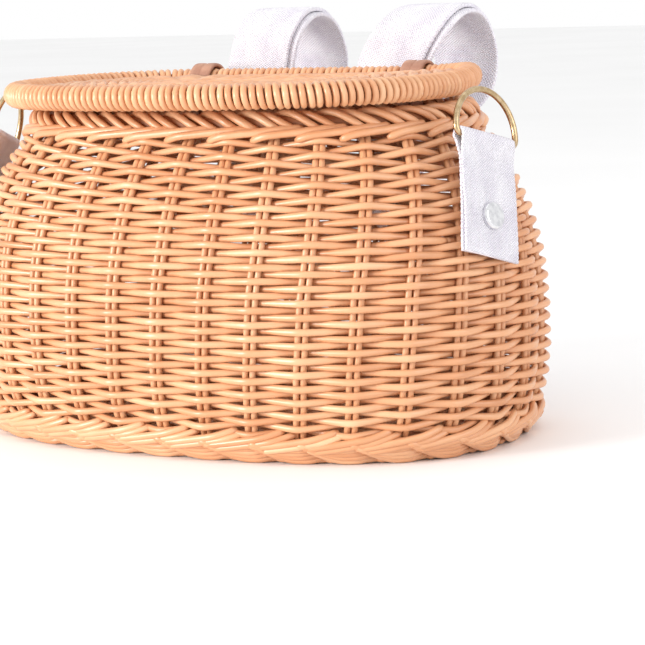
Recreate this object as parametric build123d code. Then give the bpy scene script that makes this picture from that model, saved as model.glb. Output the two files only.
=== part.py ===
from build123d import *
import math
import os

# Wicker handlebar basket: a pot-bellied woven basket with a hinged lid, held to the bar by two
# webbing loops. Millimetres, +Z up, +X along the handlebar, front towards -Y.
# The pieces are drawn with Z = 0 under the foot and Y = 0 on the belly's widest line.
# PLACE then puts the origin on the handlebar's axis, midway between the two loops.

# Plan sizes, each (half width, front depth, back depth) from the widest line
FOOT_PLAN = (118.0, 73.0, 58.0)
BELLY_PLAN = (129.5, 83.0, 63.0)
NECK_PLAN = (97.5, 58.0, 58.5)
RIM_PLAN = (95.0, 80.0, 54.5)
FRONT_POWER = 2.5        # superellipse power of the bowed front
STRAIGHT_SHARE = 0.64    # straight part of the back, as a share of the half width
FRONT_STEPS = 5          # points that draw half of the bow

# Heights above the foot
BELLY_HEIGHT = 46.0
NECK_HEIGHT = 130.0
WALL_BOTTOM = 8.0
WALL_TOP = 126.0
BORDER_TOP = 138.0
RIM_HEIGHT = 144.0
FOOT_POWER = 2.8         # how sharply the wall tucks in below the belly
NECK_POWER = 2.4         # and above it
LOFT_HEIGHTS = (16.0, 28.0, BELLY_HEIGHT, 66.0, 86.0, 104.0, 116.0)

# Woven pieces
WALL = 6.0
BORDER_WIDTH = 10.0
BORDER_CORNER = 3.5
FOOT_WIDTH = 9.0
FOOT_CORNER = 2.5
STAKE_PAIRS = 31
STAKE_RADIUS = 1.15
STAKE_GAP = 3.0          # between the two stakes of a pair, centre to centre
STAKE_HEIGHTS = (WALL_BOTTOM + 1, 24.0, BELLY_HEIGHT, 75.0, 103.0, WALL_TOP - 1)
BASE_BOTTOM = 2.0
BASE_THICK = 7.5
BASE_GAP = 0.02          # between the base and the foot's border
BASE_STICK_RADIUS = 1.6
BASE_STICKS = (3, 8)     # long ones along the width, short ones across
BASE_REACH = (86.0, 42.0)
BASE_STICKS_Y = -8.0
LID_THICK = 5.0
LID_TUCK = 2.0           # how far the lid's edge reaches into the wrapped rim
LID_RIB_RADIUS = 1.1
LID_RIBS = (3, 7)
LID_REACH = (68.0, 44.0)
LID_RIBS_Y = -16.0
STICK_SPACING = 6.0      # of the long sticks, in radii
STICK_SPREAD = 0.75      # share of the width that the short sticks cover
STICK_GAP = 0.05         # between the crossing sticks
HOOP_RADIUS = 3.0
RIM_RADIUS = 5.25

# Leather hinge loops
HINGE_X = 53.0
HINGE_WIDTH = 11.0
HINGE_THICK = 1.5
HINGE_INNER = 6.1
HINGE_BOTTOM = 124.8
HINGE_CORNER = 1.0
HINGE_MIDDLE = RIM_PLAN[2] - 0.3
WALL_SLOT = (12.0, 24.0, 7.0)    # openings that the loops pass through, as box sizes
LID_SLOT = (12.0, 6.0, 20.0)

# Handlebar and its webbing loops
BAR_RADIUS = 22.0
BAR_BEHIND = 98.0
BAR_HEIGHT = 148.0
WEBBING = 2.5
STRAP_WIDTH = 30.0
STRAP_X = 33.0
TAIL_FRONT = 62.9        # front face of the strap's tail, just behind the wall
TAIL_BOTTOM = 74.0
JOIN_HEIGHT = 116.0      # where the two runs of the loop come together
JOIN_RADIUS = 0.3        # inside the bend there
LAP_BOTTOM = 96.0        # lower end of the lapped run
STRAP_RIVET_HEIGHT = 84.0
SNAP_HEIGHT = 106.0

# Side tabs with their D-rings
TAB_RIVET_HEIGHT = 93.4
TAB_Y = -22.8            # where the rivet stands on the outline
TAB_LEAN = 14.0          # degrees that the tab leans in towards the neck
TAB_ROLL = 15.0          # degrees that its top is turned towards the back
TAB_STANDOFF = 1.8       # between the tab and the wall at the rivet
TAB_WIDTH = 30.0
TAB_THICK = 3.0          # two layers of webbing
TAB_BELOW = 16.2         # rivet to the lower end
TAB_ABOVE = 31.0         # rivet to the ring's bar
TAB_NECK = 9.0           # from the ring's bar down to where the layers meet
RING_WIRE = 1.25
RING_HALF = 17.0         # bar centre line, half length
RING_LEG = 3.5           # straight leg below the bow
RING_CORNER = 3.0
EYE_CLEARANCE = 0.35

# Rivets and snaps
CAP_RADIUS = 5.5
CAP_THICK = 2.2
CAP_ROUND = 0.6          # rounding of its upper edge, as a share of its thickness
POST_RADIUS = 1.9
POST_LAP = 0.5           # how far a post reaches into its cap
HOLE_CLEARANCE = 0.15
WASHER_RADIUS = 5.0
WASHER_THICK = 1.2
BED_CLEARANCE = 0.3      # round a washer let into the wall
THROUGH = 5.0            # how far a hole's cutter runs past what it cuts

PLACE = Pos(0, -BAR_BEHIND, -BAR_HEIGHT)
SIDES = {"left": -1, "right": 1}


# ---- outlines ----

def wall_plan(height):
    """Plan size of the wall's outside at a height above the foot."""
    if height < BELLY_HEIGHT:
        end, power = FOOT_PLAN, FOOT_POWER
        share = (BELLY_HEIGHT - height) / BELLY_HEIGHT
    else:
        end, power = NECK_PLAN, NECK_POWER
        share = (height - BELLY_HEIGHT) / (NECK_HEIGHT - BELLY_HEIGHT)
    return tuple(b - (b - e) * share ** power for b, e in zip(BELLY_PLAN, end))


def inset(plan, distance):
    """The plan size drawn in by a distance all round."""
    return tuple(size - distance for size in plan)


def front_point(plan, turn):
    """A point of the bowed front: turn runs from 0 at the end to a quarter turn at the middle."""
    half, front, _ = plan
    across, along = max(math.cos(turn), 0.0), max(math.sin(turn), 0.0)
    reach = (across ** FRONT_POWER + along ** FRONT_POWER) ** (-1 / FRONT_POWER)
    return (half * across * reach, -front * along * reach)


def outline(plan, height=0.0):
    """Closed D-shaped wire: bowed front, straight back between rounded corners."""
    half, _, back = plan
    flat = STRAIGHT_SHARE * half
    turns = [math.pi / 2 * step / FRONT_STEPS for step in range(FRONT_STEPS + 1)]
    points = [front_point(plan, turn) for turn in turns]
    front_right = Spline(points, tangents=[(0, -1), (-1, 0)])
    front_left = mirror(front_right, about=Plane.YZ)
    left = EllipticalCenterArc((-flat, 0), half - flat, back, start_angle=90, arc_size=90)
    right = EllipticalCenterArc((flat, 0), half - flat, back, start_angle=0, arc_size=90)
    straight = Line((flat, back), (-flat, back))
    return Pos(0, 0, height) * Wire([front_right, front_left.edge(), left, straight, right])


def plate(plan, bottom, thick):
    """Flat plate of a plan size."""
    return extrude(Pos(0, 0, bottom) * make_face(outline(plan).edges()), amount=thick)


def ring_tube(plan, height, section):
    """A section swept once round an outline, upright, centred on the outline."""
    path = outline(plan, height)
    start = Plane(origin=(plan[0], 0, height), x_dir=(1, 0, 0), z_dir=(0, -1, 0))
    return sweep(start * section, path=path)


def inner_back(height):
    """Where the wall's inside lies at the back."""
    return wall_plan(height)[2] - WALL


# ---- woven body ----

def wall_solid(distance, low, high):
    """Solid inside the wall's outline drawn in by a distance, between two heights."""
    faces = [
        Pos(0, 0, height) * make_face(outline(inset(wall_plan(height), distance)).edges())
        for height in (low, *LOFT_HEIGHTS, high)
    ]
    return loft(faces)


def make_stakes(drill):
    """Pairs of upright stakes that the weaver goes round, one pair at the front's middle."""
    wires = [outline(inset(wall_plan(height), WALL / 2), height) for height in STAKE_HEIGHTS]
    stakes = []
    for pair in range(STAKE_PAIRS):
        for side in (-1, 1):
            points = []
            for wire in wires:
                bow = wire.edges().sort_by(Axis.Y)[0].length
                along = bow + wire.length * pair / STAKE_PAIRS + side * STAKE_GAP / 2
                points.append(wire.position_at(along % wire.length, PositionMode.LENGTH))
            path = Spline(points)
            stake = sweep(Plane(path ^ 0) * Circle(STAKE_RADIUS), path=path)
            stakes.append(stake - drill)
    return stakes


def stick_grid(reach, centre, radius, counts):
    """Sticks along the width with shorter ones crossing just under them."""
    half_x, half_y = reach
    y_mid, z_mid = centre
    long_count, short_count = counts
    lift = radius + STICK_GAP
    sticks = []
    for index in range(long_count):
        y = y_mid + (index - (long_count - 1) / 2) * radius * STICK_SPACING
        rod = Rot(0, 90, 0) * Cylinder(radius, 2 * half_x)
        sticks.append(Pos(0, y, z_mid + lift) * rod)
    spacing = 2 * STICK_SPREAD * half_x / (short_count - 1)
    for index in range(short_count):
        x = (index - (short_count - 1) / 2) * spacing
        rod = Rot(90, 0, 0) * Cylinder(radius, 2 * half_y)
        sticks.append(Pos(x, y_mid, z_mid - lift) * rod)
    return sticks


# ---- fasteners ----

def domed_cap(radius, thick):
    """Low button with a rounded upper edge, standing on its plane."""
    button = Pos(0, 0, thick / 2) * Cylinder(radius, thick)
    return fillet(button.edges().sort_by(Axis.Z)[-1], thick * CAP_ROUND)


def post(radius, low, high):
    """Round post along the fastener's axis between two depths."""
    return Pos(0, 0, (low + high) / 2) * Cylinder(radius, high - low)


def washer(top):
    """Flat washer whose upper face is at a depth, with a hole for the post."""
    disc = post(WASHER_RADIUS, top - WASHER_THICK, top)
    return disc - post(POST_RADIUS, top - 2 * WASHER_THICK, top + WASHER_THICK)


# ---- side tabs and rings ----

def tab_plane():
    """Plane of the right tab's back: X along the wall, Y up the tab, Z outwards."""
    plan = wall_plan(TAB_RIVET_HEIGHT)
    half, front, _ = plan
    share = (abs(TAB_Y) / front) ** FRONT_POWER
    x = half * (1 - share) ** (1 / FRONT_POWER)
    normal_x = (x / half) ** (FRONT_POWER - 1) / half
    normal_y = -((abs(TAB_Y) / front) ** (FRONT_POWER - 1)) / front
    outward = Vector(normal_x, normal_y, 0).normalized()
    along = Vector(-outward.Y, outward.X, 0)
    lean = math.radians(TAB_LEAN)
    normal = outward * math.cos(lean) + Vector(0, 0, 1) * math.sin(lean)
    origin = Vector(x, TAB_Y, TAB_RIVET_HEIGHT) + outward * TAB_STANDOFF
    roll = math.radians(TAB_ROLL)
    x_dir = along * math.cos(roll) - normal.cross(along) * math.sin(roll)
    return Plane(origin=origin, x_dir=x_dir, z_dir=normal)


def make_tab():
    """Webbing folded over the ring's bar: two layers with an eye at the fold."""
    eye = RING_WIRE + EYE_CLEARANCE
    middle = TAB_THICK / 2
    fold = Pos(TAB_ABOVE, middle) * Circle(eye + TAB_THICK / 2)
    top = TAB_ABOVE - TAB_NECK
    neck = Pos(top, middle) * Circle(TAB_THICK / 2)
    head = make_hull((fold + neck).edges())
    layers = Pos((top - TAB_BELOW) / 2, middle) * Rectangle(top + TAB_BELOW, TAB_THICK)
    section = head + layers - Pos(TAB_ABOVE, middle) * Circle(eye)
    side_on = Plane(origin=(0, 0, 0), x_dir=(0, 1, 0), z_dir=(1, 0, 0))
    tab = extrude(side_on * section, amount=TAB_WIDTH / 2, both=True)
    return tab - post(POST_RADIUS + HOLE_CLEARANCE, -THROUGH, TAB_THICK + THROUGH)


def make_ring():
    """D-ring of round wire: straight bar, short legs and a half-round bow."""
    low = TAB_ABOVE
    foot = low + RING_CORNER
    shoulder = low + RING_LEG
    inner = RING_HALF - RING_CORNER
    bar = Line((-inner, low), (inner, low))
    right_corner = CenterArc((inner, foot), RING_CORNER, -90, 90)
    right_leg = Line((RING_HALF, foot), (RING_HALF, shoulder))
    bow = CenterArc((0, shoulder), RING_HALF, 0, 180)
    left_leg = Line((-RING_HALF, shoulder), (-RING_HALF, foot))
    left_corner = CenterArc((-inner, foot), RING_CORNER, 180, 90)
    path = Wire([bar, right_corner, right_leg, bow, left_leg, left_corner])
    start = Plane(origin=(-inner, low, 0), x_dir=(0, 1, 0), z_dir=(1, 0, 0))
    ring = sweep(start * Circle(RING_WIRE), path=path)
    return Pos(0, 0, TAB_THICK / 2) * ring


# ---- straps and hinge loops ----

def along_x(section, x, width):
    """A section drawn in (Y, Z), made width thick about a place on X."""
    side_on = Plane(origin=(0, 0, 0), x_dir=(0, 1, 0), z_dir=(1, 0, 0))
    return Pos(x, 0, 0) * extrude(side_on * section, amount=width / 2, both=True)


def strap_hull(extra):
    """Teardrop round the bar down to where the loop's two runs meet."""
    bar = Pos(BAR_BEHIND, BAR_HEIGHT) * Circle(BAR_RADIUS + extra)
    join = Pos(TAIL_FRONT + WEBBING, JOIN_HEIGHT) * Circle(JOIN_RADIUS + extra)
    return make_hull((bar + join).edges())


def make_strap(x):
    """Webbing loop round the bar, lapped on itself above a tail riveted to the wall."""
    section = strap_hull(WEBBING) - strap_hull(0)
    tail_height = JOIN_HEIGHT - TAIL_BOTTOM
    tail = Pos(TAIL_FRONT + WEBBING / 2, TAIL_BOTTOM + tail_height / 2)
    section += tail * Rectangle(WEBBING, tail_height)
    lap_height = JOIN_HEIGHT - LAP_BOTTOM
    lap = Pos(TAIL_FRONT + WEBBING * 1.5, LAP_BOTTOM + lap_height / 2)
    section += lap * Rectangle(WEBBING, lap_height)
    return along_x(section, x, STRAP_WIDTH)


def hinge_hull(extra):
    """Loop outline round the lid's rim above and the border below."""
    top = Pos(HINGE_MIDDLE, RIM_HEIGHT) * Circle(HINGE_INNER + extra)
    reach = HINGE_INNER - HINGE_CORNER
    low = HINGE_BOTTOM + HINGE_CORNER
    corner = Circle(HINGE_CORNER + extra)
    feet = [Pos(HINGE_MIDDLE + side * reach, low) * corner for side in (-1, 1)]
    return make_hull((top + feet[0] + feet[1]).edges())


def make_hinge_loop(x):
    """Leather loop that ties the lid's rim to the border."""
    return along_x(hinge_hull(HINGE_THICK) - hinge_hull(0), x, HINGE_WIDTH)


# ---- assembly ----

def build():
    """All sub-parts by node name, in the drawing position."""
    nodes = {}
    tab_place = tab_plane()
    backwards = {
        name: Plane(origin=(side * STRAP_X, TAIL_FRONT, 0), x_dir=(-1, 0, 0), z_dir=(0, 1, 0))
        for name, side in SIDES.items()
    }
    wall_depth = WALL + TAB_STANDOFF
    tab_washer = tab_place * washer(-wall_depth)
    tab_rivet = tab_place * (
        Pos(0, 0, TAB_THICK) * domed_cap(CAP_RADIUS, CAP_THICK)
        + post(POST_RADIUS, -wall_depth - WASHER_THICK, TAB_THICK + POST_LAP)
    )
    hole_radius = POST_RADIUS + HOLE_CLEARANCE
    bed_radius = WASHER_RADIUS + BED_CLEARANCE
    tab_hole = tab_place * post(hole_radius, -wall_depth - THROUGH, THROUGH)
    tab_bed = tab_place * post(bed_radius, -wall_depth - THROUGH, -wall_depth)
    flip = Plane.YZ

    strap_washers, strap_rivets, strap_cuts = {}, {}, []
    snap_caps, snap_studs = {}, {}
    strap_depth = TAIL_FRONT - inner_back(STRAP_RIVET_HEIGHT)
    for name, plane in backwards.items():
        low = plane * Pos(0, STRAP_RIVET_HEIGHT, 0)
        strap_washers[name] = low * washer(-strap_depth)
        strap_rivets[name] = low * (
            Pos(0, 0, WEBBING) * domed_cap(CAP_RADIUS, CAP_THICK)
            + post(POST_RADIUS, -strap_depth - WASHER_THICK, WEBBING + POST_LAP)
        )
        strap_cuts.append(low * post(hole_radius, -strap_depth - THROUGH, WEBBING + THROUGH))
        strap_cuts.append(low * post(bed_radius, -strap_depth - THROUGH, -strap_depth))
        high = plane * Pos(0, SNAP_HEIGHT, 0)
        snap_caps[name] = high * (Pos(0, 0, 2 * WEBBING) * domed_cap(CAP_RADIUS, CAP_THICK))
        snap_studs[name] = high * post(POST_RADIUS, 0, 2 * WEBBING)

    # Hinge loops need slots in the wall's top edge and in the lid beside its rim.
    slot_y = RIM_PLAN[2] - HINGE_INNER
    wall_slots = [
        Pos(side * HINGE_X, RIM_PLAN[2], WALL_TOP) * Box(*WALL_SLOT)
        for side in SIDES.values()
    ]
    lid_slots = [
        Pos(side * HINGE_X, slot_y, RIM_HEIGHT) * Box(*LID_SLOT) for side in SIDES.values()
    ]

    tab_cuts = [tab_hole, tab_bed, mirror(tab_hole, about=flip), mirror(tab_bed, about=flip)]
    wall_cuts = [*tab_cuts, *strap_cuts, *wall_slots]
    wall = wall_solid(0, WALL_BOTTOM, WALL_TOP) - wall_solid(WALL, WALL_BOTTOM, WALL_TOP)
    for cut in wall_cuts:
        wall -= cut
    nodes["side_weave"] = wall
    nodes["side_stakes"] = Compound(children=make_stakes(Compound(children=wall_cuts)))

    foot_line = inset(FOOT_PLAN, FOOT_WIDTH / 2)
    foot_section = RectangleRounded(FOOT_WIDTH, WALL_BOTTOM, FOOT_CORNER)
    nodes["foot_border"] = ring_tube(foot_line, WALL_BOTTOM / 2, foot_section)
    base_plan = inset(FOOT_PLAN, FOOT_WIDTH + BASE_GAP)
    nodes["base_panel"] = plate(base_plan, BASE_BOTTOM, BASE_THICK)
    base_middle = (BASE_STICKS_Y, BASE_BOTTOM + BASE_THICK / 2)
    nodes["base_sticks"] = Compound(
        children=stick_grid(BASE_REACH, base_middle, BASE_STICK_RADIUS, BASE_STICKS)
    )

    border_line = inset(NECK_PLAN, BORDER_WIDTH / 2)
    border_section = RectangleRounded(BORDER_WIDTH, BORDER_TOP - WALL_TOP, BORDER_CORNER)
    nodes["top_border"] = ring_tube(border_line, (WALL_TOP + BORDER_TOP) / 2, border_section)

    nodes["lid_hoop"] = ring_tube(RIM_PLAN, RIM_HEIGHT, Circle(HOOP_RADIUS))
    nodes["lid_wrap"] = ring_tube(RIM_PLAN, RIM_HEIGHT, Circle(RIM_RADIUS))
    lid_plan = inset(RIM_PLAN, RIM_RADIUS - LID_TUCK)
    lid = plate(lid_plan, RIM_HEIGHT - LID_THICK / 2, LID_THICK) - nodes["lid_wrap"]
    for slot in lid_slots:
        lid -= slot
    nodes["lid_panel"] = lid
    lid_middle = (LID_RIBS_Y, RIM_HEIGHT)
    nodes["lid_ribs"] = Compound(
        children=stick_grid(LID_REACH, lid_middle, LID_RIB_RADIUS, LID_RIBS)
    )

    for name, side in SIDES.items():
        nodes[f"hinge_loop_{name}"] = make_hinge_loop(side * HINGE_X)
        nodes[f"bar_strap_{name}"] = make_strap(side * STRAP_X)
        for cut in strap_cuts:
            nodes[f"bar_strap_{name}"] -= cut
        nodes[f"bar_strap_{name}"] -= snap_studs[name]
        nodes[f"strap_rivet_{name}"] = strap_rivets[name]
        nodes[f"strap_washer_{name}"] = strap_washers[name]
        nodes[f"snap_cap_{name}"] = snap_caps[name]
        nodes[f"snap_stud_{name}"] = snap_studs[name]

    right_end = {
        "side_tab": tab_place * make_tab(),
        "d_ring": tab_place * make_ring(),
        "tab_rivet": tab_rivet,
        "tab_washer": tab_washer,
    }
    for piece, shape in right_end.items():
        nodes[f"{piece}_right"] = shape
        nodes[f"{piece}_left"] = mirror(shape, about=flip)
    return nodes


def main():
    os.makedirs("parts", exist_ok=True)
    for node, shape in build().items():
        export_step(PLACE * shape, f"parts/{node}.step")


main()
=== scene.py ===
import bpy
import math
import numpy as np
from mathutils import Matrix, Vector


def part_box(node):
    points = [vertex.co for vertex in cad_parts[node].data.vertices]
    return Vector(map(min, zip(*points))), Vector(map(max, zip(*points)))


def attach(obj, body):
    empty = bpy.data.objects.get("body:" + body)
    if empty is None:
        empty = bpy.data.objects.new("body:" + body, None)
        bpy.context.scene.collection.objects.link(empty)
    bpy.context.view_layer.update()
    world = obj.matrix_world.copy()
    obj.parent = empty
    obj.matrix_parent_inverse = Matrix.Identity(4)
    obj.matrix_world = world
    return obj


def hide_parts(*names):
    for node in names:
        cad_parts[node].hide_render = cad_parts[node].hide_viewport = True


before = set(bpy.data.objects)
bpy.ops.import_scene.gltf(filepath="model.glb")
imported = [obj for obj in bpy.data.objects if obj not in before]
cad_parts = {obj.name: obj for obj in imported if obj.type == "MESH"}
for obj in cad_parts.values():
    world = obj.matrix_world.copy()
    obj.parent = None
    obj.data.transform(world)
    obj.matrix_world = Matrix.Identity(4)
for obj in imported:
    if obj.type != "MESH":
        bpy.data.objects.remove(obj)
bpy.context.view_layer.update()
rng = np.random.default_rng(11)

# The pieces are drawn in millimetres: Z = 0 under the foot, Y = 0 on the belly's widest line.
FOOT_PLAN = (118.0, 73.0, 58.0)      # half width, front depth, back depth
BELLY_PLAN = (129.5, 83.0, 63.0)
NECK_PLAN = (97.5, 58.0, 58.5)
RIM_PLAN = (95.0, 80.0, 54.5)
FRONT_POWER, STRAIGHT_SHARE = 2.5, 0.64
BELLY_HEIGHT, NECK_HEIGHT = 46.0, 130.0
FOOT_POWER, NECK_POWER = 2.8, 2.4
RIM_HEIGHT = 144.0
PAIRS = 31
HINGE_X, STRAP_X = 53.0, 33.0        # middles of a leather loop and of a webbing loop

low_corner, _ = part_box("side_weave")
foot_corner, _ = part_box("foot_border")
ORIGIN = np.array([0.0, low_corner[1] + BELLY_PLAN[1] / 1000, foot_corner[2]])


def place(points):
    """Drawing millimetres to metres in the row frame."""
    return np.asarray(points, float) / 1000 + ORIGIN


# ---- camera ----

VIEW_TURN, VIEW_RISE, VIEW_ROLL = (math.radians(a) for a in (31.2, 8.2, 2.3))
AIM_RIGHT, AIM_DOWN = 0.0285, 0.0033    # from the middle of the belly, in metres
LENS = 131.2


def set_camera():
    """One metre from the basket's middle."""
    turn, rise, roll = VIEW_TURN, VIEW_RISE, VIEW_ROLL
    ahead = Vector((-math.sin(turn) * math.cos(rise), math.cos(turn) * math.cos(rise), -math.sin(rise)))
    right = Vector((math.cos(turn), math.sin(turn), 0))
    up = right.cross(ahead)
    middle = Vector(place((0, 0, BELLY_HEIGHT)))
    location = middle - ahead
    aim = (middle + right * AIM_RIGHT - up * AIM_DOWN - location).normalized()
    side = right * math.cos(roll) - up * math.sin(roll)
    side = (side - aim * side.dot(aim)).normalized()
    top = side.cross(aim)
    data = bpy.data.cameras.new("camera")
    data.lens, data.sensor_width, data.clip_start = LENS, 36, 0.01
    camera = bpy.data.objects.new("camera", data)
    camera.matrix_world = Matrix((side, top, -aim)).transposed().to_4x4()
    camera.location = location
    bpy.context.collection.objects.link(camera)
    bpy.context.scene.camera = camera


# ---- outlines ----

def wall_plan(height):
    if height < BELLY_HEIGHT:
        end, power = FOOT_PLAN, FOOT_POWER
        share = (BELLY_HEIGHT - height) / BELLY_HEIGHT
    else:
        end, power = NECK_PLAN, NECK_POWER
        share = (height - BELLY_HEIGHT) / (NECK_HEIGHT - BELLY_HEIGHT)
    share = min(share, 1.0)
    return tuple(b - (b - e) * share ** power for b, e in zip(BELLY_PLAN, end))


def loop_points(plan, count=1240):
    """Points evenly spaced by length round the D-shaped outline, from the back's middle to the left."""
    half, front, back = plan
    flat = STRAIGHT_SHARE * half
    turn = np.linspace(0, np.pi / 2, 900)
    c, s = np.cos(turn), np.sin(turn)
    k = (np.maximum(c, 0) ** FRONT_POWER + s ** FRONT_POWER) ** (-1 / FRONT_POWER)
    bow = np.c_[half * c * k, -front * s * k]
    straight = np.c_[np.linspace(0, flat, 300), np.full(300, back)]
    corner = np.c_[flat + (half - flat) * s, back * c]
    right = np.r_[straight[:-1], corner[:-1], bow]
    left = right * (-1, 1)
    loop = np.r_[left, right[::-1][1:]]
    run = np.r_[0, np.cumsum(np.linalg.norm(np.diff(loop, axis=0), axis=1))]
    at = np.arange(count) / count * run[-1]
    return np.c_[np.interp(at, run, loop[:, 0]), np.interp(at, run, loop[:, 1])], run[-1]


class Skin:
    """A surface through a stack of outlines: share of the way round, then height."""

    def __init__(self, plans, heights):
        self.heights = np.asarray(heights, float)
        rings, self.lengths = zip(*(loop_points(plan) for plan in plans))
        self.rings = np.array(rings)
        self.count = self.rings.shape[1]

    def flat(self, share, height):
        levels = len(self.heights)
        level = np.clip(np.interp(height, self.heights, np.arange(levels)), 0, levels - 1.001)
        row, up = level.astype(int), (level % 1)[:, None]
        place_on = (share % 1) * self.count
        col, on = place_on.astype(int) % self.count, (place_on % 1)[:, None]
        nxt = (col + 1) % self.count
        low = self.rings[row, col] * (1 - on) + self.rings[row, nxt] * on
        high = self.rings[row + 1, col] * (1 - on) + self.rings[row + 1, nxt] * on
        return np.c_[low * (1 - up) + high * up, height]

    def at(self, share, height):
        """Point, outward normal and tangent."""
        share, height = np.broadcast_arrays(np.asarray(share, float), np.asarray(height, float))
        share, height = share.copy(), height.copy()
        point = self.flat(share, height)
        along = self.flat(share + 0.002, height) - self.flat(share - 0.002, height)
        rise = self.flat(share, height + 1.5) - self.flat(share, height - 1.5)
        rise[:, 2] = 3.0
        out = np.cross(along, rise)
        return point, unit(out), unit(along)


def unit(v):
    return v / np.maximum(np.linalg.norm(v, axis=-1, keepdims=True), 1e-12)


HEIGHTS = np.linspace(-4, 142, 74)
wall = Skin([wall_plan(h) for h in HEIGHTS], HEIGHTS)
neck = Skin([NECK_PLAN] * 3, (120, 135, 150))
rim = Skin([RIM_PLAN] * 3, (120, 144, 170))
UP = np.array([0.0, 0.0, 1.0])


# ---- meshes ----

def new_piece(name, verts, faces, material, body, stands_for=(), values=()):
    mesh = bpy.data.meshes.new(name)
    mesh.from_pydata(place(verts).tolist(), [], faces)
    mesh.polygons.foreach_set("use_smooth", np.ones(len(mesh.polygons), bool))
    for key, kind, data in values:
        layer = mesh.attributes.new(key, kind, "POINT")
        field = "value" if kind == "FLOAT" else "vector"
        layer.data.foreach_set(field, np.asarray(data, np.float32).ravel())
    mesh.materials.append(material)
    mesh.update()
    piece = bpy.data.objects.new(name, mesh)
    bpy.context.collection.objects.link(piece)
    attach(piece, body)
    if stands_for:
        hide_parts(*stands_for)
    return piece


TIP = 0.55     # a strand's cut end, as a share of its thickness


def rod(path, ref, wide, thick=None, tone=0.5, closed=False, square=1.0, taper=True):
    """One strand: centre line, which way its face looks, half width, half thickness, and shade."""
    path = np.asarray(path, float)
    n = len(path)
    wide = np.broadcast_to(np.asarray(wide, float), n).copy()
    thick = wide.copy() if thick is None else np.broadcast_to(np.asarray(thick, float), n).copy()
    if taper and not closed:
        wide[[0, -1]] *= TIP
        thick[[0, -1]] *= TIP
    tone = np.broadcast_to(np.asarray(tone, float), n)
    ref = np.broadcast_to(np.asarray(ref, float), (n, 3))
    return path, ref, wide, thick, tone, closed, square


def strands(name, rods, sides, material, body, stands_for=()):
    """One mesh from many strands, with a shade and a grain direction for its material."""
    turn = np.arange(sides) * 2 * np.pi / sides
    c, s = np.cos(turn), np.sin(turn)
    verts, faces, tones, grains, base = [], [], [], [], 0
    for number, (path, ref, wide, thick, tone, closed, square) in enumerate(rods):
        n = len(path)
        if closed:
            run = np.roll(path, -1, 0) - np.roll(path, 1, 0)
        else:
            run = np.gradient(path, axis=0)
        run = unit(run)
        across = unit(np.cross(run, ref))
        out = np.cross(across, run)
        cc = np.sign(c) * np.abs(c) ** square
        ss = np.sign(s) * np.abs(s) ** square
        deep, broad = thick[:, None] * cc, wide[:, None] * ss
        ring = path[:, None] + out[:, None] * deep[..., None] + across[:, None] * broad[..., None]
        verts.append(ring.reshape(-1, 3))
        tones.append(np.repeat(tone, sides))
        length = np.r_[0, np.cumsum(np.linalg.norm(np.diff(path, axis=0), axis=1))]
        grain = np.stack([
            np.broadcast_to((length + number * 37.3)[:, None], (n, sides)),
            deep,
            broad,
        ], -1)
        grains.append(grain.reshape(-1, 3))
        rings = n if closed else n - 1
        i = np.arange(rings)[:, None]
        j = np.arange(sides)[None]
        a = base + i * sides + j
        b = base + i * sides + (j + 1) % sides
        up = (i + 1) % n
        quad = np.stack([a, b, base + up * sides + (j + 1) % sides, base + up * sides + j], -1)
        faces.extend(quad.reshape(-1, 4).tolist())
        if not closed:
            faces.append([base + k for k in range(sides - 1, -1, -1)])
            faces.append([base + (n - 1) * sides + k for k in range(sides)])
        base += n * sides
    return new_piece(
        name, np.concatenate(verts), faces, material, body, stands_for,
        (("tone", "FLOAT", np.concatenate(tones)), ("grain", "FLOAT_VECTOR", np.concatenate(grains))),
    )


def lathe(name, profile, origin, axis, material, body, stands_for=(), steps=56):
    """A turned piece: (radius, height) pairs round an axis."""
    axis = Vector(axis).normalized()
    side = axis.orthogonal().normalized()
    other = axis.cross(side)
    verts, faces = [], []
    for radius, height in profile:
        for k in range(steps):
            t = 2 * math.pi * k / steps
            round_axis = side * (radius * math.cos(t)) + other * (radius * math.sin(t))
            verts.append(Vector(origin) + axis * height + round_axis)
    for row in range(len(profile) - 1):
        for k in range(steps):
            a, b = row * steps + k, row * steps + (k + 1) % steps
            faces.append([a, b, b + steps, a + steps])
    faces.append(list(range(steps - 1, -1, -1)))
    last = (len(profile) - 1) * steps
    faces.append([last + k for k in range(steps)])
    return new_piece(name, [tuple(v) for v in verts], faces, material, body, stands_for)


# ---- materials ----

def node_material(name):
    material = bpy.data.materials.new(name)
    material.use_nodes = True
    tree = material.node_tree
    shader = next(n for n in tree.nodes if n.type == "BSDF_PRINCIPLED")
    return material, tree, shader


def linear(rgb):
    return tuple((v / 255 / 12.92) if v <= 10 else ((v / 255 + 0.055) / 1.055) ** 2.4 for v in rgb) + (1,)


def add(tree, kind, **settings):
    node = tree.nodes.new(kind)
    for key, value in settings.items():
        if hasattr(node, key):
            setattr(node, key, value)
        else:
            node.inputs[key].default_value = value
    return node


def ramp(tree, source, stops):
    node = tree.nodes.new("ShaderNodeValToRGB")
    while len(node.color_ramp.elements) < len(stops):
        node.color_ramp.elements.new(0.5)
    for element, (at, colour) in zip(node.color_ramp.elements, stops):
        element.position, element.color = at, colour
    tree.links.new(source, node.inputs[0])
    return node.outputs[0]


def sums(tree, operation, a, b):
    node = tree.nodes.new("ShaderNodeMath")
    node.operation = operation
    for socket, value in zip(node.inputs, (a, b)):
        if isinstance(value, (int, float)):
            socket.default_value = value
        else:
            tree.links.new(value, socket)
    return node.outputs[0]


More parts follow.
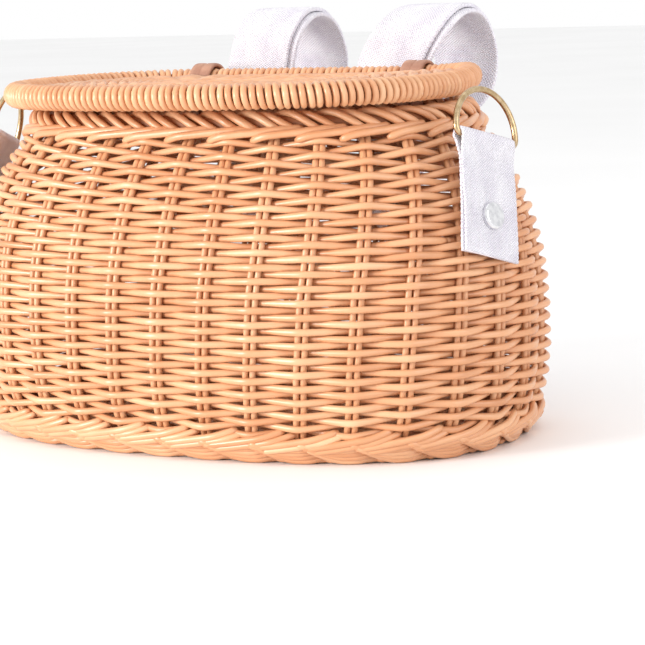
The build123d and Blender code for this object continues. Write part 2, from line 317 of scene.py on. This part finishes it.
def noise(tree, vector, scale, detail=2.0, stretch=None):
    node = add(tree, "ShaderNodeTexNoise")
    node.inputs["Scale"].default_value = scale
    node.inputs["Detail"].default_value = detail
    if stretch is not None:
        mapping = tree.nodes.new("ShaderNodeMapping")
        mapping.inputs["Scale"].default_value = stretch
        tree.links.new(vector, mapping.inputs["Vector"])
        vector = mapping.outputs[0]
    tree.links.new(vector, node.inputs["Vector"])
    return node.outputs["Fac"]


def reed_material(name, dark, mid, pale, rough=0.42):
    """Round reed: shade differs strand by strand, with fine streaks along it."""
    material, tree, shader = node_material(name)
    tone = add(tree, "ShaderNodeAttribute", attribute_name="tone").outputs["Fac"]
    grain = add(tree, "ShaderNodeAttribute", attribute_name="grain").outputs["Vector"]
    streak = noise(tree, grain, 1.0, 3.0, (0.05, 2.6, 2.6))
    blotch = noise(tree, grain, 1.0, 2.0, (0.09, 0.25, 0.25))
    mixed = sums(tree, "ADD", sums(tree, "MULTIPLY", tone, 0.55), sums(tree, "MULTIPLY", streak, 0.22))
    mixed = sums(tree, "ADD", mixed, sums(tree, "MULTIPLY", blotch, 0.30))
    colour = ramp(tree, mixed, [(0.18, linear(dark)), (0.5, linear(mid)), (0.85, linear(pale))])
    tree.links.new(colour, shader.inputs["Base Color"])
    shader.inputs["Specular IOR Level"].default_value = 0.7
    worn = sums(tree, "ADD", sums(tree, "MULTIPLY", streak, 0.22), rough - 0.11)
    tree.links.new(worn, shader.inputs["Roughness"])
    bump = add(tree, "ShaderNodeBump")
    bump.inputs["Strength"].default_value = 0.25
    bump.inputs["Distance"].default_value = 0.0003
    tree.links.new(streak, bump.inputs["Height"])
    tree.links.new(bump.outputs[0], shader.inputs["Normal"])
    return material


def webbing_material():
    """White cotton webbing: tight ribs across it and fine yarns along it."""
    material, tree, shader = node_material("cotton_webbing")
    grain = add(tree, "ShaderNodeAttribute", attribute_name="grain").outputs["Vector"]
    parts = tree.nodes.new("ShaderNodeSeparateXYZ")
    tree.links.new(grain, parts.inputs[0])
    along, across = parts.outputs[0], parts.outputs[2]
    rib = sums(tree, "SINE", sums(tree, "MULTIPLY", along, 2 * math.pi / 1.15), 0)
    yarn = sums(tree, "SINE", sums(tree, "MULTIPLY", across, 2 * math.pi / 1.5), 0)
    weave = sums(tree, "MULTIPLY", rib, yarn)
    fuzz = noise(tree, grain, 1.0, 4.0, (2.2, 2.2, 2.2))
    patch = noise(tree, grain, 1.0, 2.0, (0.08, 0.3, 0.12))
    height = sums(tree, "ADD", sums(tree, "MULTIPLY", weave, 0.5), fuzz)
    shade = sums(tree, "ADD", sums(tree, "MULTIPLY", weave, 0.3), sums(tree, "MULTIPLY", patch, 0.9))
    tints = [(0.12, linear((214, 208, 222))), (0.5, linear((242, 239, 247))), (0.9, linear((252, 251, 254)))]
    colour = ramp(tree, shade, tints)
    tree.links.new(colour, shader.inputs["Base Color"])
    shader.inputs["Roughness"].default_value = 0.9
    shader.inputs["Specular IOR Level"].default_value = 0.25
    shader.inputs["Sheen Weight"].default_value = 0.25
    shader.inputs["Sheen Roughness"].default_value = 0.5
    bump = add(tree, "ShaderNodeBump")
    bump.inputs["Strength"].default_value = 0.9
    bump.inputs["Distance"].default_value = 0.0006
    tree.links.new(height, bump.inputs["Height"])
    tree.links.new(bump.outputs[0], shader.inputs["Normal"])
    return material


def metal_material(name, base, worn, rough):
    """Plated metal with faint polishing marks and worn spots."""
    material, tree, shader = node_material(name)
    where = add(tree, "ShaderNodeTexCoord").outputs["Object"]
    spots = noise(tree, where, 420.0, 4.0)
    marks = noise(tree, where, 1.0, 2.0, (2600.0, 300.0, 2600.0))
    colour = ramp(tree, spots, [(0.35, linear(worn)), (0.62, linear(base))])
    tree.links.new(colour, shader.inputs["Base Color"])
    shader.inputs["Metallic"].default_value = 1.0
    polish = sums(tree, "ADD", sums(tree, "MULTIPLY", marks, 0.16), rough - 0.05)
    tree.links.new(polish, shader.inputs["Roughness"])
    bump = add(tree, "ShaderNodeBump")
    bump.inputs["Strength"].default_value = 0.08
    bump.inputs["Distance"].default_value = 0.0001
    tree.links.new(marks, bump.inputs["Height"])
    tree.links.new(bump.outputs[0], shader.inputs["Normal"])
    return material


def leather_material():
    """Brown leather strip, pored and worn."""
    material, tree, shader = node_material("leather_lace")
    where = add(tree, "ShaderNodeTexCoord").outputs["Object"]
    pores = tree.nodes.new("ShaderNodeTexVoronoi")
    pores.inputs["Scale"].default_value = 1700.0
    tree.links.new(where, pores.inputs["Vector"])
    wear = noise(tree, where, 160.0, 4.0)
    colour = ramp(tree, wear, [(0.3, linear((150, 104, 84))), (0.7, linear((192, 146, 122)))])
    tree.links.new(colour, shader.inputs["Base Color"])
    tree.links.new(sums(tree, "ADD", sums(tree, "MULTIPLY", wear, 0.3), 0.45), shader.inputs["Roughness"])
    bump = add(tree, "ShaderNodeBump")
    bump.inputs["Strength"].default_value = 0.4
    bump.inputs["Distance"].default_value = 0.0003
    tree.links.new(pores.outputs["Distance"], bump.inputs["Height"])
    tree.links.new(bump.outputs[0], shader.inputs["Normal"])
    return material


REED = reed_material("honey_reed", (190, 124, 80), (218, 158, 114), (236, 190, 148), rough=0.34)
STAKE = reed_material("stake_reed", (190, 126, 84), (220, 160, 114), (238, 192, 150), rough=0.38)
# The core colours are a dark brown as painted shade: the core shows only in the gaps between the plaited and
# wrapped strands, where shade falls.
CORE = reed_material("reed_core", (120, 68, 36), (160, 98, 56), (190, 130, 84), rough=0.6)
WEB = webbing_material()
BRASS = metal_material("antique_brass", (206, 182, 146), (180, 154, 116), 0.22)
NICKEL = metal_material("nickel_plate", (236, 236, 238), (214, 214, 218), 0.1)
LEATHER = leather_material()


# ---- woven wall ----

PITCH = 2.8
WEAVER = 1.42
STAKE_R = 1.28
STAKE_GAP = 3.15
WALL_MID = 3.75
SWING = 2.8
FIRST_PAIR = 0.66


def drift(turns, height):
    """Share of the way round of a pair: the stakes stand wider apart at the front of the neck."""
    spread = np.interp(height, (9, 36, 67, 98, 128), (-0.33, -0.30, -0.15, 0.17, 0.58))
    return (turns + spread * np.sin(2 * np.pi * (turns - 13.66) / PAIRS)) / PAIRS


def beads(u, sharp=0.975, first=FIRST_PAIR):
    """Over and under: +1 outside a pair, -1 behind it, bent sharply over the stakes."""
    return np.arcsin(sharp * np.cos(np.pi * (u - first))) / math.asin(sharp)


def per_bead(u, spread):
    """A random value for each pair that the strand passes."""
    count = int(u.max()) + 3
    return np.interp(u - FIRST_PAIR, np.arange(count), rng.normal(0, spread, count))


WALL_LOW, WALL_HIGH = 7.0, 127.5
STAKE_LOW, STAKE_HIGH = 3.5, 131.0
WALL_PIECES = 3


def weave_wall():
    """One strand that winds up the wall, over and under the stakes, cut into a few pieces."""
    steps = 10
    low, high = WALL_LOW, WALL_HIGH
    u = np.arange(0, PAIRS * (high - low) / PITCH, 1 / steps)
    z = low + PITCH * u / PAIRS
    point, out, along = wall.at(drift(u, z), z)
    swing = beads(u)
    offset = -WALL_MID + swing * (SWING + per_bead(u, 0.12)) + per_bead(u, 0.06)
    sideways = per_bead(u, 0.13)
    path = point + out * offset[:, None] + np.cross(out, along) * sideways[:, None]
    tall = WEAVER * (0.96 + 0.10 * np.abs(swing)) * (1 + per_bead(u, 0.035))
    tone = np.clip(0.5 + per_bead(u, 0.16) + rng.normal(0, 0.02), 0, 1)
    cuts = np.linspace(0, len(u), WALL_PIECES + 1).astype(int)
    for index in range(WALL_PIECES):
        part = slice(max(cuts[index] - 1, 0), cuts[index + 1])
        strand = rod(path[part], out[part], tall[part], WEAVER * 0.94, tone[part], taper=False)
        strands(f"wall_weaver_{index + 1}", [strand], 10, REED, "basket", ("side_weave",))


def weave_stakes():
    """Upright pairs, which the wall's strand goes round."""
    rods = []
    heights = np.linspace(STAKE_LOW, STAKE_HIGH, 40)
    girth = np.interp(BELLY_HEIGHT, HEIGHTS, wall.lengths)
    for pair in range(PAIRS):
        for side in (-1, 1):
            turns = np.full(len(heights), pair + FIRST_PAIR)
            share = drift(turns, heights) + side * STAKE_GAP / 2 / girth
            point, out, _ = wall.at(share, heights)
            path = point - out * WALL_MID
            rods.append(rod(path, out, STAKE_R, tone=np.clip(0.5 + rng.normal(0, 0.13), 0, 1)))
    strands("wall_stakes", rods, 8, STAKE, "basket", ("side_stakes",))


# ---- top border ----

BORDER_R = 1.5
RING_HEIGHT, RING_INSET = 130.9, 4.6     # middle of the rope-like ring, from the neck's outline
RING_DEEP, RING_TALL = 4.0, 4.5
CORE_INSET = 5.2
RING_SHARES = np.arange(0, 1, 1 / 248)


def border_point(share, angle, lift):
    """On a rope-like ring round the neck: angle 0 looks outwards and 90 up."""
    point, out, _ = neck.at(share, np.full(len(share), RING_HEIGHT))
    c, s = np.cos(np.radians(angle))[:, None], np.sin(np.radians(angle))[:, None]
    face = unit(out * c + UP * s)
    lift = lift[:, None]
    return point + out * (-RING_INSET + (RING_DEEP + lift) * c) + UP * (RING_TALL + lift) * s, face


def shade(middle=0.52, spread=0.13):
    return float(np.clip(middle + rng.normal(0, spread), 0, 1))


def weave_border():
    """Stakes turned down into a plait: two fall to the right over each one that climbs."""
    rods = []
    t = np.linspace(0, 1, 26)
    for pair in range(PAIRS):
        for index in range(2):
            start = pair + 0.5 + index * 0.43 + rng.normal(0, 0.03)
            bulge = -1.3 + 1.9 * np.sin(np.pi * np.clip(t * 0.92 + 0.04, 0, 1)) ** 0.5 - 0.45 * index
            bulge = bulge + rng.normal(0, 0.12)
            path, face = border_point((start + 1.85 * t) / PAIRS, 200 - 234 * t, bulge)
            thick = (BORDER_R + 0.1 * rng.normal()) * (1 - 0.25 * np.clip((t - 0.82) / 0.18, 0, 1))
            rods.append(rod(path, face, thick, tone=shade()))
        start = pair + 0.15 + rng.normal(0, 0.03)
        turns = start + 2.15 * t
        z = 126.4 + 4.2 * t
        sink = 1.5 - 2.6 * np.sin(np.pi / 2 * np.clip(t / 0.22, 0, 1)) + 1.0 * t
        sink = sink + 2.2 * np.clip((t - 0.76) / 0.24, 0, 1) ** 1.4
        point, out, _ = wall.at(drift(turns, np.full(len(t), 126.0)), z)
        rods.append(rod(point - out * sink[:, None], out, BORDER_R * 1.12, BORDER_R, tone=shade()))
        for index in range(2):
            turns = pair + 0.1 + index * 0.46 + 2.4 * t
            path, face = border_point(turns / PAIRS, 262 - 70 * t, -0.6 + 0.9 * np.sin(np.pi * t))
            # These strands run under and inside the ring; their tone is set darker (middle 0.45) as painted
            # shade.
            rods.append(rod(path, face, 1.4, tone=shade(0.45)))
    strands("top_border_plait", rods, 10, REED, "basket", ("top_border",))
    point, out, _ = neck.at(RING_SHARES, np.full(len(RING_SHARES), 131.2))
    # A dark core ring behind the plait, tone 0.3: painted shade that shows in the gaps between the strands.
    core = rod(point - out * CORE_INSET, out, 4.0, 2.6, 0.3, closed=True)
    strands("top_border_core", [core], 14, CORE, "basket")


# ---- foot border and base ----

FOOT_R = 1.5
FAN_LOWS = (6.4, 4.8, 3.2, 1.62)      # heights that the strands of one fan come down to


def weave_foot():
    """Stakes turned under the base: each pair fans out downwards and over the next one."""
    rods = []
    t = np.linspace(0, 1, 24)
    for pair in range(PAIRS):
        for index, low in enumerate(FAN_LOWS):
            start = pair + 0.4 + index * 0.06 + rng.normal(0, 0.015)
            fall = np.sin(np.pi / 2 * np.clip(t / 0.58, 0, 1)) ** 1.15
            z = (8.7 - index * 0.5) * (1 - fall) + low * fall + 1.5 * np.clip((t - 0.72) / 0.28, 0, 1)
            inward = -1.2 + 1.9 * t + 3.4 * np.clip((t - 0.7) / 0.3, 0, 1) ** 1.3 + 0.25 * index * fall
            point, out, _ = wall.at((start + 1.42 * t) / PAIRS, np.maximum(z, FOOT_R))
            path = point - unit(out * (1, 1, 0)) * inward[:, None]
            path[:, 2] = np.maximum(path[:, 2], FOOT_R + 0.02)
            rods.append(rod(path, unit(out + np.array([0, 0, -0.4])), FOOT_R, tone=shade(0.52)))
        for index in range(2):
            start = pair + 0.42 + index * 0.2 + rng.normal(0, 0.02)
            z = 7.2 - 1.3 * index + 5.6 * t ** 1.2
            sink = 1.4 - 2.5 * np.sin(np.pi / 2 * np.clip(t / 0.12, 0, 1)) + 0.7 * t
            sink = sink + 3.4 * np.clip((t - 0.7) / 0.3, 0, 1) ** 1.5
            point, out, _ = wall.at((start + 1.7 * t) / PAIRS, z)
            rods.append(rod(point - out * sink[:, None], out, FOOT_R * 0.97, tone=shade()))
        for index in range(3):
            start = pair + 0.3 + index * 0.3
            point, out, _ = wall.at((start + 2.0 * t) / PAIRS, np.full(len(t), 4.0))
            path = point - unit(out * (1, 1, 0)) * (3.5 + 5.6 * t)[:, None]
            path[:, 2] = FOOT_R + 0.1 + 3.2 * t
            # These strands run under the base; their tone is set darker (middle 0.42) as painted shade.
            rods.append(rod(path, -UP, FOOT_R, tone=shade(0.42, 0.1)))
    strands("foot_border_plait", rods, 10, REED, "basket", ("foot_border",))
    # A dark core ring inside the plait, tone 0.3: painted shade that shows in the gaps between the strands.
    point, out, _ = wall.at(RING_SHARES, np.full(len(RING_SHARES), 5.2))
    level = unit(out * (1, 1, 0))
    core = rod(point - level * 5.4, level, 2.4, 2.6, 0.3, closed=True)
    strands("foot_border_core", [core], 12, CORE, "basket")


def disc_point(edge, share, reach, height):
    """On a flat woven panel: reach runs from 0 on its middle line to 1 on the outline."""
    flat, _ = loop_points(edge)
    count = len(flat)
    at = (share % 1) * count
    col, on = at.astype(int) % count, (at % 1)[:, None]
    outer = flat[col] * (1 - on) + flat[(col + 1) % count] * on
    half, front, back = edge
    spread = half * 0.36
    inner = np.c_[outer[:, 0] * spread / half, np.full(len(outer), (back - front) / 2)]
    flat_point = inner + (outer - inner) * reach[:, None]
    return np.c_[flat_point, np.broadcast_to(height, len(outer))]


def corner_lift(path):
    """The lid's right back corner is warped up a little."""
    return 2.0 * np.exp(-((path[:, 0] - 80) ** 2 + (path[:, 1] - 34) ** 2) / (2 * 17.0 ** 2))


FIRST_REACH, LAST_REACH = 0.035, 0.985


def weave_panel(prefix, edge, level, pitch, radius, rib, rise, body, slot_names, calm=1.0, avoid=None):
    """Ribs from a slit in the middle, and one strand that goes round and round them."""
    steps = 8
    depth = (edge[1] + edge[2]) / 2
    rounds = depth * (LAST_REACH - FIRST_REACH) / pitch
    u = np.arange(0, PAIRS * rounds, 1 / steps)
    reach = FIRST_REACH + (LAST_REACH - FIRST_REACH) * u / u[-1]
    if avoid is not None:
        reach = avoid(u / PAIRS, reach)
    swing = beads(u, 0.9, 0.5)
    tight = np.clip((reach - 0.05) / 0.4, 0.35, 1)
    height = level + rise * (1 - reach ** 2) + swing * calm * (rib + radius * 0.85) * tight
    height = height + per_bead(u, 0.10 * calm)
    path = disc_point(edge, u / PAIRS, reach, height)
    path[:, 2] += corner_lift(path) if body == "lid" else 0
    thin = radius * np.clip(0.75 + reach * 0.4, 0, 1)
    tone = np.clip(0.5 + per_bead(u, 0.14), 0, 1)
    strands(f"{prefix}_weaver", [rod(path, UP, thin * 1.06, thin, tone)], 8, REED, body, slot_names)
    rods = []
    for pair in range(PAIRS):
        t = np.linspace(0.02, 1.0, 16)
        for side in (-1, 1):
            share = (pair + 0.5) / PAIRS + side * 0.0022
            path = disc_point(edge, np.full(16, share), t, level + rise * (1 - t ** 2))
            path[:, 2] += corner_lift(path) if body == "lid" else 0
            tone = np.clip(0.5 + rng.normal(0, 0.1), 0, 1)
            rods.append(rod(path, UP, rib * np.clip(0.5 + t, 0.5, 1), tone=tone))
    return rods


BASE_EDGE = (109.5, 64.5, 49.5)
LID_INSET = 4.2


def weave_base():
    """The bottom, with five long sticks through its middle."""
    edge = BASE_EDGE
    rods = weave_panel("base", edge, 5.6, 3.0, 1.35, 1.2, 0.6, "basket", ("base_panel",))
    for index in range(5):
        y = (edge[2] - edge[1]) / 2 + (index - 2) * 3.0
        x = np.linspace(-52, 52, 12)
        rods.append(rod(np.c_[x, np.full(12, y), np.full(12, 4.2)], UP, 1.45, tone=0.5))
    strands("base_ribs", rods, 8, STAKE, "basket", ("base_sticks",))


def weave_lid():
    """The lid's panel, with three long sticks beside the slit."""
    edge = tuple(v - LID_INSET for v in RIM_PLAN)

    def avoid(share, reach):
        """The strands near a hinge loop bunch up inside it."""
        flat = disc_point(edge, share, np.ones(len(share)), 0.0)
        near = np.zeros(len(share))
        for x in (-HINGE_X, HINGE_X):
            near = np.maximum(near, np.clip(1.7 - np.abs(flat[:, 0] - x) / 6.5, 0, 1) * (flat[:, 1] > 30))
        return np.minimum(reach, 1 - 0.105 * near * near * (3 - 2 * near))

    rods = weave_panel("lid", edge, RIM_HEIGHT + 0.6, 2.4, 1.22, 0.7, 1.4, "lid", ("lid_panel",), 0.6, avoid)
    middle = (edge[2] - edge[1]) / 2
    x = np.linspace(-36, 36, 12)
    for y in (-2.3, 0.9, 3.2):
        stick = np.c_[x, np.full(12, middle + y), np.full(12, RIM_HEIGHT + 1.6)]
        rods.append(rod(stick, UP, 1.15, tone=0.5))
    strands("lid_rib_rods", rods, 8, STAKE, "lid", ("lid_ribs",))


WRAP_PITCH, WRAP_REACH = 3.05, 3.95


def wrap_rim():
    """One strand wound round the lid's hoop."""
    wraps = 2 * round(rim.lengths[1] / WRAP_PITCH / 2)
    t = np.arange(0, wraps, 1 / 14)
    share = t / wraps
    point, out, _ = rim.at(share, np.full(len(share), RIM_HEIGHT))
    uneven = np.interp(t, np.arange(wraps + 1), np.r_[rng.normal(0, 0.06, wraps), 0])
    turn = -2 * np.pi * (t + 0.07 * np.sin(np.pi * t))
    face = unit(out * np.cos(turn)[:, None] + UP * np.sin(turn)[:, None])
    path = point + face * (WRAP_REACH + 0.10 * uneven)[:, None]
    path[:, 2] += corner_lift(point)
    tone = np.interp(t, np.arange(wraps + 1), np.r_[rng.normal(0, 0.12, wraps), 0])
    tone = np.clip(0.55 + tone, 0, 1)
    wrapping = rod(path, face, 1.36, 1.4, tone, closed=True)
    strands("rim_wrapping", [wrapping], 8, REED, "lid", ("lid_wrap",))


# ---- webbing ----

def smooth_line(points, count):
    """Even points along a polyline."""
    points = np.asarray(points, float)
    run = np.r_[0, np.cumsum(np.linalg.norm(np.diff(points, axis=0), axis=1))]
    at = np.linspace(0, run[-1], count)
    return np.stack([np.interp(at, run, points[:, k]) for k in range(points.shape[1])], 1)


BAR = (98.0, 148.0)
STRAP_HALF, STRAP_THICK = 15.0, 2.3


def arc(centre, radius, start, end, count):
    a = np.radians(np.linspace(start, end, count))
    return np.c_[centre[0] + radius * np.cos(a), centre[1] + radius * np.sin(a)]


def strap_line():
    """The loop's centre line in (Y, Z): tail, round the bar, and the lap behind the tail."""
    join, small, big = (65.4, 116.0), 1.45, 23.25
    run, rise = BAR[0] - join[0], BAR[1] - join[1]
    lean = math.degrees(math.atan2(rise, run))
    spread = math.degrees(math.asin((big - small) / math.hypot(run, rise)))
    up, down = lean + spread, lean - spread
    return np.r_[
        [(64.15, 74.0), (64.15, 100.0), (64.1, 114.0)],
        arc(join, small, 172, up + 90, 3),
        arc(BAR, big, up + 90, down - 90, 60),
        arc(join, small, down - 90, -2, 5),
        [(66.65, 112.0), (66.65, 96.0)],
    ]


def selvedge(length, half):
    """Half width along a band, with the small loops of its woven edge."""
    return half + 0.13 * np.sin(2 * np.pi * length / 1.9) + 0.10 * np.sin(2 * np.pi * length / 23.0)


STRAP_SLANTS = {"left": (0, -3.0, -1.5, -1.0), "right": (0, -2.6, 7.0, 10.0)}


def make_strap(name, side, slant):
    """A band that goes up the back of the wall and round the bar, with a second layer over it.

    slant is how far the band stands sideways at four heights on its way up to the crown.
    """
    line = smooth_line(strap_line(), 440)
    for _ in range(5):
        line[1:-1] = (line[:-2] + 2 * line[1:-1] + line[2:]) / 4
    turn = unit(np.gradient(line, axis=0))
    length = np.r_[0, np.cumsum(np.linalg.norm(np.diff(line, axis=0), axis=1))]
    crown = int(np.argmax(line[:, 1]))
    shift = np.interp(line[:, 1], (112, 148, 166, 172), slant)
    shift[crown:] = np.interp(line[crown:, 1], (118, 140, 172), (0, slant[3], slant[3]))
    for _ in range(60):
        shift[1:-1] = (shift[:-2] + 2 * shift[1:-1] + shift[2:]) / 4
    normal = np.c_[np.zeros(len(line)), -turn[:, 1], turn[:, 0]]
    first = np.argmax(line[:, 1] > 117.5)
    over = np.arange(int(first), int(len(line) - np.argmax(line[::-1, 1] > 121.0)))
    lap_ends = (over[0], over[0] + 30, over[-1] - 30, over[-1])
    lapped = np.interp(np.arange(len(line)), lap_ends, (0, 1, 1, 0))
    path = np.c_[side * STRAP_X + shift + 1.6 * lapped, line]
    wide = selvedge(length, STRAP_HALF)
    rods = [rod(path, normal, wide, STRAP_THICK / 2, 0.5, square=0.28, taper=False)]
    away = unit(line[over] - np.array(BAR))
    above = line[over] + away * 2.4 * lapped[over, None] ** 0.5
    raised = np.c_[side * STRAP_X + shift[over] - 1.0 * lapped[over], above]
    wide = selvedge(length[over] + 1.0, STRAP_HALF)
    rods.append(rod(raised, normal[over], wide, STRAP_THICK / 2, 0.5, square=0.28, taper=False))
    strands(f"webbing_loop_{name}", rods, 36, WEB, "basket", (f"bar_strap_{name}",))


TAB_HEIGHT, TAB_Y, TAB_LEAN, TAB_ROLL, TAB_STANDOFF = 93.4, -22.8, 14.0, 15.0, 1.8
TAB_ABOVE, TAB_BELOW, TAB_HALF = 31.0, 16.2, 15.0


def tab_frame(side):
    """Back of a side tab at its rivet: origin, along the tab, up it and out of it."""
    half, front, _ = wall_plan(TAB_HEIGHT)
    x = half * (1 - (-TAB_Y / front) ** FRONT_POWER) ** (1 / FRONT_POWER)
    face = unit(np.array([
        (x / half) ** (FRONT_POWER - 1) / half, -((-TAB_Y / front) ** (FRONT_POWER - 1)) / front, 0.0,
    ]))
    level = np.array([-face[1], face[0], 0.0])
    lean, roll = math.radians(TAB_LEAN), math.radians(TAB_ROLL)
    out = face * math.cos(lean) + UP * math.sin(lean)
    rise = np.cross(out, level)
    along = level * math.cos(roll) - rise * math.sin(roll)
    up = rise * math.cos(roll) + level * math.sin(roll)
    origin = np.array([x, TAB_Y, TAB_HEIGHT]) + face * TAB_STANDOFF
    flip = np.array([side, 1, 1])
    return origin * flip, along * flip, up * flip, out * flip


def make_tab(name, side):
    """Webbing folded over the ring's bar and riveted through both layers."""
    origin, along, up, out = tab_frame(side)
    neck_height = TAB_ABOVE - 8
    flat = np.r_[
        [(-TAB_BELOW, 2.25), (0, 2.25), (neck_height, 2.3)],
        arc((TAB_ABOVE, 1.5), 2.35, 100, -100, 15),
        [(neck_height, 0.7), (0, 0.75), (-TAB_BELOW + 0.8, 0.75)],
    ]
    line = smooth_line(flat, 260)
    for _ in range(4):
        line[1:-1] = (line[:-2] + 2 * line[1:-1] + line[2:]) / 4
    turn = unit(np.gradient(line, axis=0))
    length = np.r_[0, np.cumsum(np.linalg.norm(np.diff(line, axis=0), axis=1))]
    sway = 0.35 * np.sin(length / 9.0) - 0.00144 * (line[:, 0] - 8) ** 2 * (line[:, 0] > 8)
    path = origin + up * line[:, :1] + out * line[:, 1:] + along * sway[:, None]
    face = out * turn[:, :1] - up * turn[:, 1:]
    strands(
        f"webbing_tab_{name}",
        [rod(path, face, selvedge(length, TAB_HALF - 0.15), 0.78, 0.5, square=0.28, taper=False)],
        36, WEB, "basket", (f"side_tab_{name}",),
    )


# ---- leather hinge loops ----

def make_hinge(name, side):
    """A leather strip that goes twice round the rim and the border."""
    rods = []
    middle = RIM_PLAN[2] - 0.3
    for index in (-1, 1):
        top = arc((middle, RIM_HEIGHT), 6.85, 0, 180, 20)
        low = arc((middle - 4.9, 126.0), 1.9, 180, 270, 5)
        low2 = arc((middle + 4.9, 126.0), 1.9, 270, 360, 5)
        loop = np.r_[top, low, low2]
        loop = smooth_line(np.r_[loop, loop[:1]], 73)[:-1]
        run = np.roll(loop, -1, 0) - np.roll(loop, 1, 0)
        wander = 0.5 * np.sin(np.linspace(0, 2 * np.pi, 72, endpoint=False) * 2 + index)
        path = np.c_[side * HINGE_X + index * 2.85 + wander, loop]
        face = np.c_[np.zeros(72), run[:, 1], -run[:, 0]]
        rods.append(rod(path, face, 2.75, 0.85, closed=True, square=0.6))
    strands(f"leather_loop_{name}", rods, 14, LEATHER, "basket", (f"hinge_loop_{name}",))


# ---- metal ----

CAP = [(5.5, 0.0), (5.5, 0.7), (5.15, 1.25), (4.6, 1.55), (4.1, 1.6), (3.6, 1.45), (3.2, 1.25),
       (2.5, 1.5), (1.6, 1.85), (0.8, 2.05), (0.05, 2.1)]


BACKWARD = (0, 1.0, 0)


def fix_metal():
    """Domed caps over the rivets and snaps, finishes for the metal kept from the CAD, and a dark colour on
    the cane hoop as painted shade for the gaps between its wraps.
    """
    for name, side in (("left", -1), ("right", 1)):
        origin, along, up, out = tab_frame(side)
        lathe(f"tab_rivet_cap_{name}", CAP, origin + out * 3.05, out, NICKEL, "basket")
        rivet, snap = (side * STRAP_X, 65.45, 84.0), (side * STRAP_X, 67.95, 106.0)
        lathe(f"strap_rivet_cap_{name}", CAP, rivet, BACKWARD, NICKEL, "basket")
        stands_for = (f"snap_cap_{name}",)
        lathe(f"strap_snap_cap_{name}", CAP, snap, BACKWARD, NICKEL, "basket", stands_for)
    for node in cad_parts:
        kept = bpy.data.objects.get(node)
        if kept is None or kept.type != "MESH":
            continue
        material = None
        if node.startswith("d_ring"):
            material = BRASS
        elif "rivet" in node or "washer" in node or "snap" in node:
            material = NICKEL
        # The hoop gets the dark core colour: painted shade that shows in the gaps between the wraps.
        elif node == "lid_hoop":
            material = CORE
        if material is not None:
            kept.data.materials.clear()
            kept.data.materials.append(material)
            for polygon in kept.data.polygons:
                polygon.use_smooth = True


# ---- stage ----

def area_light(name, position, target, size, power, colour):
    data = bpy.data.lights.new(name, "AREA")
    data.shape, data.size, data.energy, data.color = "DISK", size, power, colour
    light = bpy.data.objects.new(name, data)
    light.location = position
    light.rotation_euler = (Vector(target) - Vector(position)).to_track_quat("-Z", "Y").to_euler()
    bpy.context.collection.objects.link(light)


FLOOR_REACH = 6.0


def set_stage():
    """Pale floor, white surroundings and soft lights, placed in metres round the basket's middle."""
    mesh = bpy.data.meshes.new("floor")
    signs = ((-1, -1), (1, -1), (1, 1), (-1, 1))
    corners = [(x * FLOOR_REACH, y * FLOOR_REACH, foot_corner[2]) for x, y in signs]
    mesh.from_pydata(corners, [], [(0, 1, 2, 3)])
    floor = bpy.data.objects.new("floor", mesh)
    bpy.context.collection.objects.link(floor)
    material, tree, shader = node_material("pale_floor")
    where = add(tree, "ShaderNodeTexCoord").outputs["Object"]
    colour = ramp(tree, noise(tree, where, 3.0), [(0.3, (0.9, 0.9, 0.9, 1)), (0.7, (0.93, 0.93, 0.93, 1))])
    tree.links.new(colour, shader.inputs["Base Color"])
    shader.inputs["Roughness"].default_value = 0.9
    mesh.materials.append(material)
    world = bpy.data.worlds.new("studio")
    world.use_nodes = True
    background = world.node_tree.nodes["Background"]
    background.inputs["Color"].default_value = (1.0, 1.0, 1.0, 1)
    background.inputs["Strength"].default_value = 1.0
    bpy.context.scene.world = world
    bpy.context.scene.view_settings.view_transform = "Standard"
    target = place((0, 0, 70))
    to_camera = Vector((math.sin(VIEW_TURN), -math.cos(VIEW_TURN), 0))
    to_left = Vector((-math.cos(VIEW_TURN), -math.sin(VIEW_TURN), 0))
    middle = Vector(target)
    left = middle + to_camera * 0.62 + to_left * 1.3 + Vector((0, 0, 0.3))
    area_light("key", left, target, 0.55, 19.5, (1.0, 0.98, 0.96))
    area_light("fill", middle + Vector((1.35, -0.25, 0.45)), target, 0.9, 4.6, (1.0, 0.97, 0.98))
    area_light("top", middle + Vector((0, 0, 1.5)), target, 1.2, 1.5, (1.0, 1.0, 1.0))


set_camera()
weave_wall()
weave_stakes()
weave_border()
weave_foot()
weave_base()
weave_lid()
wrap_rim()
for label, sign in (("left", -1), ("right", 1)):
    make_strap(label, sign, STRAP_SLANTS[label])
    make_tab(label, sign)
    make_hinge(label, sign)
fix_metal()
set_stage()
